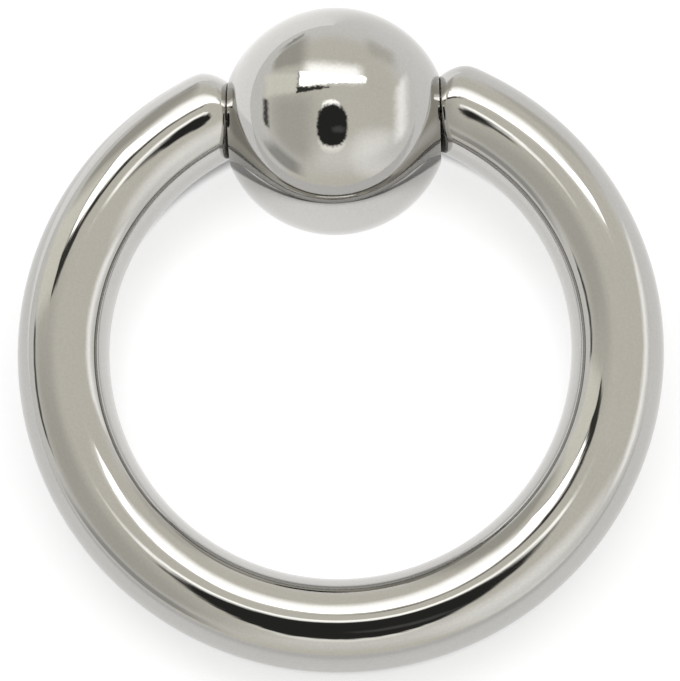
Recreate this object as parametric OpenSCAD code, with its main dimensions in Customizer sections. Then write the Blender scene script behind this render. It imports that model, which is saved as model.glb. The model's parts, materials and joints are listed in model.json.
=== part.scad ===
// Captive bead ring: a hoop of thick round wire, open at one side, whose two rounded ends hold a
// bead between them by the spring of the hoop. The bead has a round dimple for each end, and it
// turns about the line through its two dimples.
// The ring rests on its side as it would by itself, on the bead and on the hoop's far side.
// Millimetres, +Z up, +Y towards the bead, origin on the surface under the middle of the ring.

/* [Hoop] */
// Thickness of the round wire
wire_d = 2.4; // [1.2:0.1:3.2]
// Inside diameter of the hoop
inside_d = 12; // [10:0.5:20]
// How much tighter the two arms are bent than the far half, as the difference of the two radii
arm_tuck = 0.22; // [0:0.01:0.6]
// How much flatter than a half ball each wire end is, as the difference of the two radii
end_flat = 0.2; // [0.05:0.05:0.4]

/* [Bead] */
// Diameter of the bead
bead_d = 6; // [4.5:0.1:8]
// Depth of each dimple below the bead's surface
dimple_depth = 0.78; // [0.3:0.01:1.2]
// Running gap between a wire end and its dimple
end_gap = 0.03; // [0.01:0.01:0.08]

/* [Hidden] */
$fn = 128;
wire_r = wire_d / 2;
bead_r = bead_d / 2;
hoop_r = inside_d / 2 + wire_r; // middle of the ring to the middle of the wire, far half
arm_r = hoop_r - arm_tuck; // the same for an arm, whose bend is centred arm_tuck off the middle
end_r = wire_r + end_flat;
seat_r = end_r + end_gap;
end_x = bead_r - dimple_depth + seat_r; // middle of an end's rounding, from the middle of the ring
end_y = sqrt(pow(arm_r, 2) - pow(end_x - arm_tuck, 2)); // the bead's middle is level with it
end_angle = acos((end_x - arm_tuck) / arm_r); // how far an arm bends before its end's rounding
trim = 2 * end_r; // reach of the cut that rounds an end
uncut = 1.5 * end_r; // wire past the middle of its end's rounding, before that cut
rest_tilt = asin((bead_r - wire_r) / (end_y + hoop_r)); // lifts the bead's side off the surface
ring_z = wire_r + hoop_r * sin(rest_tilt); // middle of the ring as it rests
ring_y = (hoop_r * cos(rest_tilt) + wire_r - end_y * cos(rest_tilt) - bead_r) / 2;

// Tips the ring, drawn flat about its middle, onto the surface
module at_rest() {
    translate([0, ring_y, ring_z]) rotate([rest_tilt, 0, 0]) children();
}

// Round wire bent about the Z axis, from the X axis on
module bent_wire(bend_r, angle) {
    rotate_extrude(angle = angle) translate([bend_r, 0]) circle(r = wire_r);
}

// What is cut off a wire along +Z to leave it a rounded end about the origin
module end_cut() {
    rotate_extrude() difference() {
        square(trim);
        circle(r = end_r);
    }
}

// The arm on the +X side, from the far half of the hoop to its rounded end in the bead
module arm() {
    translate([arm_tuck, 0, 0]) difference() {
        bent_wire(arm_r, end_angle + uncut / arm_r * 180 / PI);
        rotate([0, 0, end_angle]) translate([arm_r, 0, 0]) rotate([-90, 0, 0]) end_cut();
    }
}

module hoop() {
    color("silver") at_rest() union() {
        rotate([0, 0, 180]) bent_wire(hoop_r, 180);
        arm();
        mirror([1, 0, 0]) arm();
    }
}

module bead() {
    color("gainsboro") at_rest() translate([0, end_y, 0]) rotate([0, 90, 0]) rotate_extrude()
        intersection() {
            translate([0, -bead_r]) square([bead_r, bead_d]);
            difference() {
                circle(r = bead_r);
                for (side = [-1, 1]) translate([0, side * end_x]) circle(r = seat_r);
            }
        }
}

hoop();
bead();
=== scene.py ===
import json
import math

import bpy
from mathutils import Matrix, Vector


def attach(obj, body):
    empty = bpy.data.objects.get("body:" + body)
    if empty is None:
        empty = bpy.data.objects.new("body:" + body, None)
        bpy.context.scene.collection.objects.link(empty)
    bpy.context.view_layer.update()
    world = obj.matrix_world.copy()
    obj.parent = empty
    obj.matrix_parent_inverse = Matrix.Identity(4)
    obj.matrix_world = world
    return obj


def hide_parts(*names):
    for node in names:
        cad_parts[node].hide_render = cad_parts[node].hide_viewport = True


# A captive bead ring in mirror-polished steel: a hoop of thick round wire whose two rounded
# ends hold a bead. Metres, +Z up, +Y towards the bead, lying on its side on a pale floor.

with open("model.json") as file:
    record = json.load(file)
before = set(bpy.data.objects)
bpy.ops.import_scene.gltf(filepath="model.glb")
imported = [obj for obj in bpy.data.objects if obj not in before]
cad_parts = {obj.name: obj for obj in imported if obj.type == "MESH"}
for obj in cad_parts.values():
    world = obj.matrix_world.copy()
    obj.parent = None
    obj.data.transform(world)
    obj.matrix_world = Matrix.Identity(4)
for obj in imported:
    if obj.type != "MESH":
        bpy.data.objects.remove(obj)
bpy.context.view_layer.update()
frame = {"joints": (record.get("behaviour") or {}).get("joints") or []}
mm = 0.001

ring = {  # the sizes that it is made to
    "wireR": 1.2 * mm,
    "hoopR": 7.2 * mm,  # middle of the ring to the middle of the wire
    "beadR": 3.0 * mm,
    "armTuck": 0.22 * mm,  # the arms are bent this much tighter than the far half
    "endFlat": 0.2 * mm,  # each wire end is this much flatter than a half ball
    "dimpleDepth": 0.78 * mm,
    "endGap": 0.03 * mm,  # between a wire end and its dimple
}
armR = ring["hoopR"] - ring["armTuck"]
endR = ring["wireR"] + ring["endFlat"]
seatR = endR + ring["endGap"]
endX = ring["beadR"] - ring["dimpleDepth"] + seatR
endAngle = math.acos((endX - ring["armTuck"]) / armR)
endY = armR * math.sin(endAngle)

# Drawn flat about its middle, the ring then goes where it rests, on the bead and its far side
restTilt = math.asin((ring["beadR"] - ring["wireR"]) / (endY + ring["hoopR"]))
beadMiddle = Vector(frame["joints"][0]["pos_m"])
ringMiddle = beadMiddle - Vector((0, endY * math.cos(restTilt), endY * math.sin(restTilt)))
ringAtRest = Matrix.Translation(ringMiddle) @ Matrix.Rotation(restTilt, 4, "X")
beadAtRest = Matrix.Translation(beadMiddle) @ Matrix.Rotation(restTilt, 4, "X")


# Arithmetic in node trees

class Field:  # a number that varies over a surface, a shape or the sky
    def __init__(self, tree, socket):
        self.tree, self.socket = tree, socket

    def do(self, operation, *others):
        node = self.tree.nodes.new("ShaderNodeMath")
        node.operation = operation
        for slot, value in zip(node.inputs, (self, *others)):
            plug(self.tree, value, slot)
        return Field(self.tree, node.outputs[0])

    def __add__(self, other):
        return self.do("ADD", other)

    def __sub__(self, other):
        return self.do("SUBTRACT", other)

    def __mul__(self, other):
        return self.do("MULTIPLY", other)

    def __truediv__(self, other):
        return self.do("DIVIDE", other)

    def clip(self, low, high):
        return self.do("MAXIMUM", low).do("MINIMUM", high)

    def over(self, limit):  # 1 where it is over the limit, otherwise 0
        return self.do("GREATER_THAN", limit)

    def ramp(self, low, high):  # 0 at low and 1 at high, eased; low may be the larger
        node = self.tree.nodes.new("ShaderNodeMapRange")
        node.interpolation_type = "SMOOTHSTEP"
        plug(self.tree, self, node.inputs["Value"])
        plug(self.tree, low, node.inputs["From Min"])
        plug(self.tree, high, node.inputs["From Max"])
        return Field(self.tree, node.outputs["Result"])


def plug(tree, value, slot):
    if isinstance(value, Field):
        tree.links.new(value.socket, slot)
    elif isinstance(value, bpy.types.NodeSocket):
        tree.links.new(value, slot)
    else:
        slot.default_value = value


def vectorOf(tree, x, y, z):
    node = tree.nodes.new("ShaderNodeCombineXYZ")
    for value, slot in zip((x, y, z), node.inputs):
        plug(tree, value, slot)
    return node.outputs[0]


# Geometry Nodes trees: each bends a grid into a closed surface by a rule

quarterTurn = math.pi / 2
weldReach = 0.0001 * mm  # points nearer to each other than this become one


def startShape(name, sizes, counts):
    tree = bpy.data.node_groups.new(name, "GeometryNodeTree")
    tree.interface.new_socket("Geometry", in_out="OUTPUT", socket_type="NodeSocketGeometry")
    for label in sizes:
        tree.interface.new_socket(label, in_out="INPUT", socket_type="NodeSocketFloat")
    for label in counts:
        tree.interface.new_socket(label, in_out="INPUT", socket_type="NodeSocketInt")
    tree.interface.new_socket("Finish", in_out="INPUT", socket_type="NodeSocketMaterial")
    given = tree.nodes.new("NodeGroupInput").outputs
    grid = tree.nodes.new("GeometryNodeMeshGrid")  # from -1 to 1 both ways
    grid.inputs["Size X"].default_value = 2.0
    grid.inputs["Size Y"].default_value = 2.0
    tree.links.new(given[counts[0]], grid.inputs["Vertices X"])
    tree.links.new(given[counts[1]], grid.inputs["Vertices Y"])
    place = tree.nodes.new("ShaderNodeSeparateXYZ")
    tree.links.new(tree.nodes.new("GeometryNodeInputPosition").outputs[0], place.inputs[0])
    along = Field(tree, place.outputs[0])  # -1 at one end, 1 at the other
    around = Field(tree, place.outputs[1]) * math.pi
    return tree, given, grid.outputs["Mesh"], along, around


def finishShape(tree, given, mesh, position, finishPlace, depth):
    stored = (  # what the finish reads
        ("finishPlace", "FLOAT_VECTOR", finishPlace),
        ("dimpleDepth", "FLOAT", depth.socket),
    )
    for name, kind, value in stored:
        store = tree.nodes.new("GeometryNodeStoreNamedAttribute")
        store.data_type = kind
        store.inputs["Name"].default_value = name
        tree.links.new(value, store.inputs["Value"])
        tree.links.new(mesh, store.inputs["Geometry"])
        mesh = store.outputs["Geometry"]
    bend = tree.nodes.new("GeometryNodeSetPosition")
    tree.links.new(mesh, bend.inputs["Geometry"])
    tree.links.new(position, bend.inputs["Position"])
    weld = tree.nodes.new("GeometryNodeMergeByDistance")  # closes the seam and the poles
    weld.inputs["Distance"].default_value = weldReach
    smooth = tree.nodes.new("GeometryNodeSetShadeSmooth")
    realize = tree.nodes.new("GeometryNodeRealizeInstances")
    finish = tree.nodes.new("GeometryNodeSetMaterial")
    out = tree.nodes.new("NodeGroupOutput")
    steps = (bend, weld, smooth, realize, finish, out)
    for before, after in zip(steps, steps[1:]):
        tree.links.new(before.outputs[0], after.inputs[0])
    tree.links.new(given["Finish"], finish.inputs["Material"])


def growShape(name, tree, values, place):
    grower = bpy.data.objects.new(name + "Grower", bpy.data.meshes.new(name + "Seed"))
    bpy.context.scene.collection.objects.link(grower)
    modifier = grower.modifiers.new("shape", "NODES")
    modifier.node_group = tree
    for item in tree.interface.items_tree:
        if item.in_out == "INPUT":
            modifier[item.identifier] = values[item.name]
    depsgraph = bpy.context.evaluated_depsgraph_get()
    mesh = bpy.data.meshes.new_from_object(
        grower.evaluated_get(depsgraph), preserve_all_data_layers=True, depsgraph=depsgraph)
    bpy.data.objects.remove(grower)
    mesh.name = name
    mesh.transform(place)
    piece = bpy.data.objects.new(name, mesh)
    bpy.context.scene.collection.objects.link(piece)
    return piece


# The hoop: wire along three bends, with a rounding at each end

hoop = {
    "rings": 641,
    "sides": 97,
    "roundingShare": 0.05,  # of the rings, for the rounding of each end
    "shoulder": 0.3 * mm,  # how softly the wire's side turns into its end
}


def makeHoopTree():
    sizes = ("Hoop Radius", "Arm Radius", "Wire Radius", "End Radius", "End Angle", "Shoulder",
             "Bead Radius", "Bead Middle")
    tree, given, mesh, along, around = startShape("hoopShape", sizes, ("Rings", "Sides"))
    hoopR, bentR, wireR, roundR, angle, shoulder, ballR, ballY = (
        Field(tree, given[label]) for label in sizes)
    wireShare = 1 - hoop["roundingShare"]
    side = along.do("SIGN")
    far = along.do("ABSOLUTE")
    quarter = hoopR * quarterTurn  # how far along the wire an arm starts
    path = (far / wireShare).clip(0.0, 1.0) * (quarter + bentR * angle)
    onArm = path.over(quarter)
    bent = (path / hoopR).clip(0.0, quarterTurn) + (path - quarter).do("MAXIMUM", 0.0) / bentR
    cosBent = (bent - quarterTurn).do("COSINE")
    sinBent = (bent - quarterTurn).do("SINE")
    tuck = (hoopR - bentR) * onArm
    bendR = hoopR - tuck
    turn = ((far - wireShare) / hoop["roundingShare"]).clip(0.0, 1.0) * quarterTurn
    past = roundR * turn.do("SINE")  # how far along the end's rounding
    thick = wireR.do("SMOOTH_MIN", roundR * turn.do("COSINE"), shoulder).do("MAXIMUM", 0.0)
    out = thick * around.do("COSINE")
    up = thick * around.do("SINE")
    x = tuck + (bendR + out) * cosBent - past * sinBent
    y = (bendR + out) * sinBent + past * cosBent
    position = vectorOf(tree, x * side, y, up)
    straight = vectorOf(tree, (path + past) * side, out, up)  # as if the wire weren't bent
    fromBead = (x * x + (y - ballY) * (y - ballY) + up * up).do("SQRT")
    finishShape(tree, given, mesh, position, straight, ballR - fromBead)
    return tree


# The bead: a ball turned about the line through its two dimples, whose rims are eased

bead = {
    "rings": 281,
    "sides": 161,
    "ballShare": 0.66,  # of the rings, for the ball between its dimples
    "rimShare": 0.06,  # for both rims
    "rimR": 0.05 * mm,
}


def makeBeadTree():
    sizes = ("Bead Radius", "Dimple Radius", "Dimple Middle", "Rim Radius")
    tree, given, mesh, along, around = startShape("beadShape", sizes, ("Rings", "Sides"))
    ballR, dimpleR, middle, rimR = (Field(tree, given[label]) for label in sizes)
    side = along.do("SIGN")
    far = along.do("ABSOLUTE")
    inner, outer = ballR - rimR, dimpleR + rimR
    rimX = (middle * middle + inner * inner - outer * outer) / (middle * 2)
    rimY = (inner * inner - rimX * rimX).do("SQRT")
    ballEnd = (rimX / inner).do("ARCSINE")
    dimpleEnd = ((middle - rimX) / outer).do("ARCCOSINE")
    rimEnd = bead["ballShare"] + bead["rimShare"]
    onBall = (far / bead["ballShare"]).clip(0.0, 1.0) * ballEnd
    onRim = ((far - bead["ballShare"]) / bead["rimShare"]).clip(0.0, 1.0)
    inDimple = ((far - rimEnd) / (1 - rimEnd)).clip(0.0, 1.0)
    # the rim's arc turns from the ball's outward direction to the dimple's
    rimTurn = ballEnd + onRim * ((dimpleEnd * -1 + math.pi) - ballEnd)
    dimpleTurn = dimpleEnd * (inDimple * -1 + 1)
    pastBall = far.over(bead["ballShare"])
    atBall = pastBall * -1 + 1
    atDimple = far.over(rimEnd)
    atRim = pastBall - atDimple
    x = (ballR * onBall.do("SINE")) * atBall
    x = x + (rimX + rimR * rimTurn.do("SINE")) * atRim
    x = x + (middle - dimpleR * dimpleTurn.do("COSINE")) * atDimple
    reach = (ballR * onBall.do("COSINE")) * atBall
    reach = reach + (rimY + rimR * rimTurn.do("COSINE")) * atRim
    reach = reach + (dimpleR * dimpleTurn.do("SINE")) * atDimple
    position = vectorOf(tree, x * side, reach * around.do("COSINE"), reach * around.do("SINE"))
    fromMiddle = (x * x + reach * reach).do("SQRT")
    finishShape(tree, given, mesh, position, position, ballR - fromMiddle)
    return tree


# The finish: polished steel with fine waves, rubbing lines, grain and a breath of haze, and the
# duller steel of the dimples and of what is in them, whose colour is also darkened there as
# painted shade

noiseMiddle = 0.5  # what a noise's values lie about

polish = {
    "waveDetail": 1.5,
    "lineDetail": 2.0,
    "cloudScale": 0.35,  # clouds of haze to a wave
    "cloudDetail": 3.0,
    "cloudEnds": (0.35, 0.75),  # of the noise, where a cloud starts and where it is whole
    "grainScale": 11,  # grains to a wave
    "grainDetail": 1.0,
    "evenHaze": 0.35,  # the shares of the haze that lie evenly, in clouds and in rubbing lines
    "cloudHaze": 0.8,
    "lineHaze": 0.5,
    "evenShade": 0.98,  # the same for the shade
    "cloudShade": -0.03,
    "lineShade": 0.04,
    "dullWithShadeEnds": (0.02 * mm, 0.1 * mm),  # how deep in a dimple the dull steel and its painted shade start and are whole
    "dullHaze": 0.35,
    # painted shade: how much darker the colour is in the dimples
    "paintedRecessShade": -0.8,
}


def makePolishGroup():
    group = bpy.data.node_groups.new("polishedSteel", "ShaderNodeTree")
    numbers = ("Wave Size", "Wave Depth", "Line Size", "Line Depth", "Grain", "Haze", "Dull With Shade",
               "Depth")
    for label in numbers:
        group.interface.new_socket(label, in_out="INPUT", socket_type="NodeSocketFloat")
    group.interface.new_socket("Place", in_out="INPUT", socket_type="NodeSocketVector")
    group.interface.new_socket("Stretched", in_out="INPUT", socket_type="NodeSocketVector")
    group.interface.new_socket("Tone", in_out="INPUT", socket_type="NodeSocketColor")
    group.interface.new_socket("Color", in_out="OUTPUT", socket_type="NodeSocketColor")
    group.interface.new_socket("Roughness", in_out="OUTPUT", socket_type="NodeSocketFloat")
    group.interface.new_socket("Height", in_out="OUTPUT", socket_type="NodeSocketFloat")
    given = group.nodes.new("NodeGroupInput").outputs
    result = group.nodes.new("NodeGroupOutput").inputs
    number = {label: Field(group, given[label]) for label in numbers}

    def noise(place, scale, detail):
        node = group.nodes.new("ShaderNodeTexNoise")
        group.links.new(place, node.inputs["Vector"])
        plug(group, scale, node.inputs["Scale"])
        node.inputs["Detail"].default_value = detail
        return Field(group, node.outputs["Fac"])

    wavesPerMetre = number["Wave Size"].do("POWER", -1.0)
    linesPerMetre = number["Line Size"].do("POWER", -1.0)
    waves = noise(given["Place"], wavesPerMetre, polish["waveDetail"])
    lines = noise(given["Stretched"], linesPerMetre, polish["lineDetail"])
    height = waves * number["Wave Depth"] + lines * number["Line Depth"]
    plug(group, height, result["Height"])

    cloud = noise(given["Place"], wavesPerMetre * polish["cloudScale"], polish["cloudDetail"])
    cloud = cloud.ramp(*polish["cloudEnds"])
    grain = noise(given["Place"], wavesPerMetre * polish["grainScale"], polish["grainDetail"])
    # dull steel in the dimples, which also carries the painted shade there
    dullWithShade = number["Depth"].ramp(*polish["dullWithShadeEnds"]) * number["Dull With Shade"]
    haze = cloud * polish["cloudHaze"] + lines * polish["lineHaze"] + polish["evenHaze"]
    plug(group, number["Haze"] * haze + dullWithShade * polish["dullHaze"], result["Roughness"])

    tint = group.nodes.new("ShaderNodeMix")
    tint.data_type = "RGBA"
    tint.blend_type = "MULTIPLY"
    tint.inputs["Factor"].default_value = 1.0
    group.links.new(given["Tone"], tint.inputs["A"])
    shade = cloud * polish["cloudShade"] + lines * polish["lineShade"] + polish["evenShade"]
    shade = shade + (grain - noiseMiddle) * number["Grain"]
    # painted shade darkens the colour in the dimples
    plug(group, shade * (dullWithShade * polish["paintedRecessShade"] + 1), tint.inputs["B"])
    group.links.new(tint.outputs["Result"], result["Color"])
    return group


steel = {
    "tone": (0.46, 0.4535, 0.437, 1),
    "stretch": 14.0,  # how much longer than wide a rubbing line is
    "heightUnit": 0.001 * mm,
    "numbers": {
        "Wave Size": 0.8 * mm,
        "Wave Depth": 2.2,  # in height units, as the next depth is
        "Line Size": 0.05 * mm,
        "Line Depth": 0.05,
        "Grain": 0.11,
        "Haze": 0.045,
        # how dull the dimples are and how strong their painted shade is
        "Dull With Shade": 0.8,
    },
}


def makeSteel(slot, group, stretched):
    material = bpy.data.materials.new(slot)
    material.use_nodes = True
    tree = material.node_tree
    shader = tree.nodes["Principled BSDF"]
    shader.inputs["Metallic"].default_value = 1.0
    polished = tree.nodes.new("ShaderNodeGroup")
    polished.node_tree = group
    polished.inputs["Tone"].default_value = steel["tone"]
    for label, value in steel["numbers"].items():
        polished.inputs[label].default_value = value
    place = tree.nodes.new("ShaderNodeAttribute")
    place.attribute_name = "finishPlace"
    depth = tree.nodes.new("ShaderNodeAttribute")
    depth.attribute_name = "dimpleDepth"
    squeeze = tree.nodes.new("ShaderNodeMapping")
    squeeze.inputs["Scale"].default_value = stretched
    tree.links.new(place.outputs["Vector"], squeeze.inputs["Vector"])
    tree.links.new(place.outputs["Vector"], polished.inputs["Place"])
    tree.links.new(squeeze.outputs["Vector"], polished.inputs["Stretched"])
    tree.links.new(depth.outputs["Fac"], polished.inputs["Depth"])
    bump = tree.nodes.new("ShaderNodeBump")
    bump.inputs["Distance"].default_value = steel["heightUnit"]
    tree.links.new(polished.outputs["Height"], bump.inputs["Height"])
    tree.links.new(bump.outputs["Normal"], shader.inputs["Normal"])
    tree.links.new(polished.outputs["Color"], shader.inputs["Base Color"])
    tree.links.new(polished.outputs["Roughness"], shader.inputs["Roughness"])
    return material


polishGroup = makePolishGroup()
squeezed = 1 / steel["stretch"]
hoopSteel = makeSteel("hoopSteel", polishGroup, (squeezed, 1, 1))  # lines along the wire
beadSteel = makeSteel("beadSteel", polishGroup, (1, squeezed, squeezed))  # and round the bead
print("finishes made")

hoopPiece = growShape("hoopWire", makeHoopTree(), {
    "Hoop Radius": ring["hoopR"],
    "Arm Radius": armR,
    "Wire Radius": ring["wireR"],
    "End Radius": endR,
    "End Angle": endAngle,
    "Shoulder": hoop["shoulder"],
    "Bead Radius": ring["beadR"],
    "Bead Middle": endY,
    "Rings": hoop["rings"],
    "Sides": hoop["sides"],
    "Finish": hoopSteel,
}, ringAtRest)
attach(hoopPiece, "hoop")
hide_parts("hoop")
print("hoop made:", len(hoopPiece.data.polygons), "faces")

beadPiece = growShape("beadBall", makeBeadTree(), {
    "Bead Radius": ring["beadR"],
    "Dimple Radius": seatR,
    "Dimple Middle": endX,
    "Rim Radius": bead["rimR"],
    "Rings": bead["rings"],
    "Sides": bead["sides"],
    "Finish": beadSteel,
}, beadAtRest)
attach(beadPiece, "bead")
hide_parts("bead")
print("bead made:", len(beadPiece.data.polygons), "faces")


# The camera, nearly above the ring and a little towards its far side

view = {
    "azimuth": 6.49,  # degrees, 0 looks along +Y
    "elevation": 71.62,
    "roll": 7.7,
    "distance": 80 * mm,  # from the middle of the ring
    "lens": 162.8,
    "sensor": 36,
    "nearest": 1 * mm,
    "farthest": 10,
    "aimRight": 0.009 * mm,  # what the picture's middle shows, from the middle of the ring
    "aimUp": 0.209 * mm,
}


def makeCamera():
    az, el, roll = (math.radians(view[label]) for label in ("azimuth", "elevation", "roll"))
    back = Vector((math.sin(az) * math.cos(el), -math.cos(az) * math.cos(el), math.sin(el)))
    turn = back.to_track_quat("Z", "Y") @ Matrix.Rotation(-roll, 3, "Z").to_quaternion()
    aim = turn @ Vector((view["aimRight"], view["aimUp"], 0))
    camera = bpy.data.objects.new("camera", bpy.data.cameras.new("camera"))
    camera.data.lens = view["lens"]
    camera.data.sensor_width = view["sensor"]
    camera.data.clip_start, camera.data.clip_end = view["nearest"], view["farthest"]
    camera.rotation_mode = "QUATERNION"
    camera.rotation_quaternion = turn
    camera.location = ringMiddle + back * view["distance"] + aim
    bpy.context.scene.collection.objects.link(camera)
    bpy.context.scene.camera = camera
    return turn.to_matrix()


cameraTurn = makeCamera()


# The floor: white, with a faint glow of its own, painted light that keeps the shadows pale. The
# glow is stronger inside the hoop and behind the bead. It is taken away right under the wire, as a
# painted shadow, and is weaker in front, where the floor's colour is darker too, as painted shade.
# Where two distances are given, the first is where something starts and the second where it is
# whole.

floor = {
    "half": 3.0,
    "tone": (0.508, 0.5125, 0.537),
    "glow": 0.55,
    "paintedGlowInside": 0.22,  # painted light: more of the glow, inside the hoop
    "inside": (6.8 * mm, 4.4 * mm),  # from the middle of the ring
    "paintedGlowBehind": 0.25,  # painted light: more of the glow behind the bead, on the left
    "behind": (9.0 * mm, 11.0 * mm),  # along +Y
    "left": (5.0 * mm, -3.0 * mm),  # along +X
    "paintedShadowUnder": 1.0,  # painted shadow: how much of the glow is taken away right under the wire
    "underInside": (6.6 * mm, 6.9 * mm),  # from the middle of the ring
    "underOutside": (8.2 * mm, 7.9 * mm),
    "paintedFrontShade": 0.8,  # painted shade: how bright the floor in front is
    "brightFrom": (-20.0 * mm, -9.0 * mm),  # along +Y
}


def makeFloor():
    half = floor["half"]
    mesh = bpy.data.meshes.new("floor")
    corners = [(-half, -half, 0), (half, -half, 0), (half, half, 0), (-half, half, 0)]
    mesh.from_pydata(corners, [], [(0, 1, 2, 3)])
    sheet = bpy.data.objects.new("floor", mesh)
    bpy.context.scene.collection.objects.link(sheet)
    material = bpy.data.materials.new("whiteFloor")
    material.use_nodes = True
    tree = material.node_tree
    shader = tree.nodes["Principled BSDF"]
    shader.inputs["Roughness"].default_value = 1.0
    shader.inputs["Specular IOR Level"].default_value = 0.0
    shader.inputs["Emission Color"].default_value = (1, 1, 1, 1)
    place = tree.nodes.new("ShaderNodeSeparateXYZ")
    tree.links.new(tree.nodes.new("ShaderNodeTexCoord").outputs["Object"], place.inputs[0])
    x, y = Field(tree, place.outputs[0]), Field(tree, place.outputs[1]) - ringMiddle.y
    off = (x * x + y * y).do("SQRT")
    # painted light: the floor glows, more inside the hoop and behind the bead
    inside = off.ramp(*floor["inside"]) * floor["paintedGlowInside"]
    behind = y.ramp(*floor["behind"]) * x.ramp(*floor["left"]) * floor["paintedGlowBehind"]
    # painted shadow right under the wire, and painted shade that darkens the floor in front
    paintedShadowMask = off.ramp(*floor["underInside"]) * off.ramp(*floor["underOutside"])
    paintedFrontShade = y.ramp(*floor["brightFrom"]) * (1 - floor["paintedFrontShade"]) + floor["paintedFrontShade"]
    glow = (inside + floor["glow"] + behind) * (paintedShadowMask * -floor["paintedShadowUnder"] + 1) * paintedFrontShade
    plug(tree, glow, shader.inputs["Emission Strength"])
    # painted shade: the floor's colour is darker in front too
    shade = tree.nodes.new("ShaderNodeVectorMath")
    shade.operation = "SCALE"
    shade.inputs[0].default_value = floor["tone"]
    plug(tree, paintedFrontShade, shade.inputs["Scale"])
    tree.links.new(shade.outputs["Vector"], shader.inputs["Base Color"])
    mesh.materials.append(material)


# The light tent: pale cloths with grey gaps between them, a softbox, and a hole for the lens

tent = {
    "cloth": (0.80, 0.775, 0.70),
    "light": 1.22,  # how brightly it is lit
    "creaseSize": 3.0,  # degrees between creases in the cloths
    "creaseReach": 1.2,  # degrees or so that a crease shifts an edge
    "creaseDetail": 2.0,
    "bulge": 2.5,  # of a disc's outline, 2 for an ellipse
}

# What is painted on it, one over the other, in degrees right of the camera and above it. A strip
# has its "low" and "high" edges given at its left and its right end, and a disc has a "middle" and
# "half" sizes. The other pairs are where an area starts to show and where it shows in full.
# "height" is 0 on the level and 1 straight up.
areas = {
    "dimLeft": {"tone": (0.49, 0.48, 0.445), "ends": (-66, -22), "low": (-52, -40),
                "high": (24, 24), "soft": 14, "strength": 0.65},
    "paleBelow": {"tone": (1.0, 0.995, 0.96), "ends": (-20, 60), "low": (-54, -54),
                  "high": (-30, -16), "soft": 14, "strength": 0.75},
    "brightBelow": {"tone": (1.3, 1.3, 1.27), "middle": (44, -36), "half": (22, 20), "soft": 0.9,
                    "strength": 0.85},
    "foot": {"tone": (0.9, 0.9, 0.88), "height": (0.5, 0.12), "above": (-66, -30),
             "strength": 1},
    "brightRight": {"tone": (1.4, 1.4, 1.37), "ends": (64, 76), "low": (-24, -14),
                    "high": (34, 50), "soft": 6.5, "strength": 1},
    "topLeftGap": {"tone": (0.52, 0.505, 0.455), "right": (-22, -40), "ends": (-66, -22),
                   "low": (54, 58), "high": (74, 98), "soft": 5, "strength": 1},
    "topLeftEdge": {"tone": (0.30, 0.29, 0.26), "right": (-22, -40), "ends": (-66, -33),
                    "low": (72, 94), "high": (76, 99), "soft": 1.5, "strength": 0.8},
    "topRightGap": {"tone": (0.60, 0.58, 0.52), "ends": (34, 64), "low": (70, 58),
                    "high": (90, 76), "soft": 7, "strength": 0.7},
    "creamLeft": {"tone": (1.02, 1.0, 0.90), "ends": (-74, -38), "low": (25, 26),
                  "high": (50, 47), "soft": 3.5, "strength": 0.8},
    "leftFoot": {"tone": (0.86, 0.86, 0.84), "height": (0.23, 0.18), "right": (-45, -65),
                 "strength": 1},
    "leftSlit": {"tone": (0.09, 0.09, 0.085), "ends": (-76.2, -70.3), "low": (-2, -9),
                 "high": (24, 20), "soft": 2.4, "strength": 1},
    "softboxGlow": {"tone": (1.8, 1.8, 1.77), "ends": (-30, 26), "low": (38, 36),
                    "high": (58, 52), "soft": 7, "strength": 1},
    "softbox": {"tone": (3.4, 3.4, 3.4), "ends": (-36.5, 31.5), "low": (32.5, 36.5),
                "high": (48.5, 42), "soft": 1.3, "strength": 1},
    "softboxSide": {"tone": (0.2, 0.2, 0.18), "ends": (-38, -36), "low": (32, 32),
                    "high": (47, 48), "soft": 1.0, "strength": 0.7},
    "softboxUnder": {"tone": (0.05, 0.05, 0.045), "ends": (-39, -5), "low": (25.2, 29.5),
                     "high": (32, 31), "soft": 1.0, "strength": 1},
    "holeTop": {"tone": (1.85, 1.85, 1.8), "middle": (-3.8, 6), "half": (10.0, 11.7),
                "soft": 0.12, "strength": 1},
    "holeBottom": {"tone": (1.25, 1.23, 1.16), "middle": (-2.8, -15.5), "half": (13.5, 19),
                   "soft": 0.2, "strength": 1},
    "lensHole": {"tone": (0.03, 0.03, 0.028), "middle": (-2.8, -7.8), "half": (15.2, 21.2),
                 "soft": 0.1, "strength": 1},
    "lensGlint": {"tone": (0.12, 0.12, 0.12), "middle": (3.5, -12), "half": (6, 3), "soft": 0.6,
                  "strength": 0.7},
    "frontGap": {"tone": (0.3, 0.3, 0.28), "height": (0.05, 0.12), "heightEnd": (0.36, 0.24),
                 "right": (-28, -46), "above": (-14, -34), "strength": 0.75},
}


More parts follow.
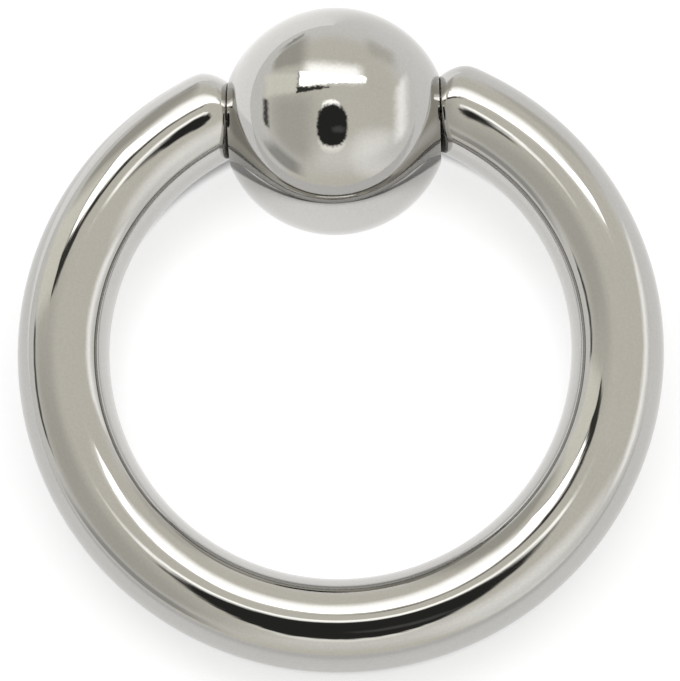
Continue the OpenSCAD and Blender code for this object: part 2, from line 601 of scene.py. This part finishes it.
def makeTent():
    world = bpy.data.worlds.new("lightTent")
    bpy.context.scene.world = world
    world.use_nodes = True
    tree = world.node_tree
    tree.nodes.clear()
    toward = tree.nodes.new("ShaderNodeTexCoord").outputs["Generated"]

    def part(axis):  # how far the direction goes along an axis
        node = tree.nodes.new("ShaderNodeVectorMath")
        node.operation = "DOT_PRODUCT"
        tree.links.new(toward, node.inputs[0])
        node.inputs[1].default_value = axis
        return Field(tree, node.outputs["Value"])

    creases = tree.nodes.new("ShaderNodeTexNoise")
    creases.inputs["Scale"].default_value = math.degrees(1) / tent["creaseSize"]
    creases.inputs["Detail"].default_value = tent["creaseDetail"]
    tree.links.new(toward, creases.inputs["Vector"])
    shift = tree.nodes.new("ShaderNodeSeparateXYZ")
    tree.links.new(creases.outputs["Color"], shift.inputs[0])

    def crease(axis):  # the noise is mostly within a quarter of its middle, so four times that
        return (Field(tree, shift.outputs[axis]) - noiseMiddle) * (4 * tent["creaseReach"])

    sideways, up, back = (part(cameraTurn.col[axis]) for axis in range(3))
    polar = back.clip(-1.0, 1.0).do("ARCCOSINE") * math.degrees(1)
    reach = (sideways * sideways + up * up).do("SQRT").do("MAXIMUM", 1e-6)  # never 0
    right = polar * sideways / reach + crease(0)
    above = polar * up / reach + crease(1)
    height = part((0, 0, 1))

    def strip(area):
        (start, end), low, high, soft = (area[key] for key in ("ends", "low", "high", "soft"))
        along = (right - start) / (end - start)
        bottom = along * (low[1] - low[0]) + low[0]
        top = along * (high[1] - high[0]) + high[0]
        across = right.ramp(start - soft, start + soft) * right.ramp(end + soft, end - soft)
        return across * (above - bottom).ramp(-soft, soft) * (above - top).ramp(soft, -soft)

    def disc(area):
        bulge, soft = tent["bulge"], area["soft"] * tent["bulge"]
        offs = ((right - area["middle"][0]) / area["half"][0],
                (above - area["middle"][1]) / area["half"][1])
        wide, tall = (off.do("ABSOLUTE").do("POWER", bulge) for off in offs)
        return (wide + tall).ramp(1 + soft, 1 - soft)

    gauges = {"right": right, "above": above, "height": height, "heightEnd": height}
    sky = (*tent["cloth"], 1)
    for name, area in areas.items():
        masks = [gauge.ramp(*area[label]) for label, gauge in gauges.items() if label in area]
        if "ends" in area:
            masks.append(strip(area))
        if "middle" in area:
            masks.append(disc(area))
        shown = masks[0] * area["strength"]
        for mask in masks[1:]:
            shown = shown * mask
        painted = tree.nodes.new("ShaderNodeMix")
        painted.label = name
        painted.data_type = "RGBA"
        plug(tree, shown, painted.inputs["Factor"])
        plug(tree, sky, painted.inputs["A"])
        plug(tree, (*area["tone"], 1), painted.inputs["B"])
        sky = painted.outputs["Result"]

    light = tree.nodes.new("ShaderNodeBackground")
    tree.links.new(sky, light.inputs["Color"])
    light.inputs["Strength"].default_value = tent["light"]
    blank = tree.nodes.new("ShaderNodeBackground")  # what the camera itself sees past the floor
    blank.inputs["Color"].default_value = (1, 1, 1, 1)
    choose = tree.nodes.new("ShaderNodeMixShader")
    rays = tree.nodes.new("ShaderNodeLightPath")
    tree.links.new(rays.outputs["Is Camera Ray"], choose.inputs[0])
    tree.links.new(light.outputs[0], choose.inputs[1])
    tree.links.new(blank.outputs[0], choose.inputs[2])
    out = tree.nodes.new("ShaderNodeOutputWorld")
    tree.links.new(choose.outputs[0], out.inputs["Surface"])


makeFloor()
makeTent()
bpy.context.scene.view_settings.view_transform = "Standard"
print("studio made")
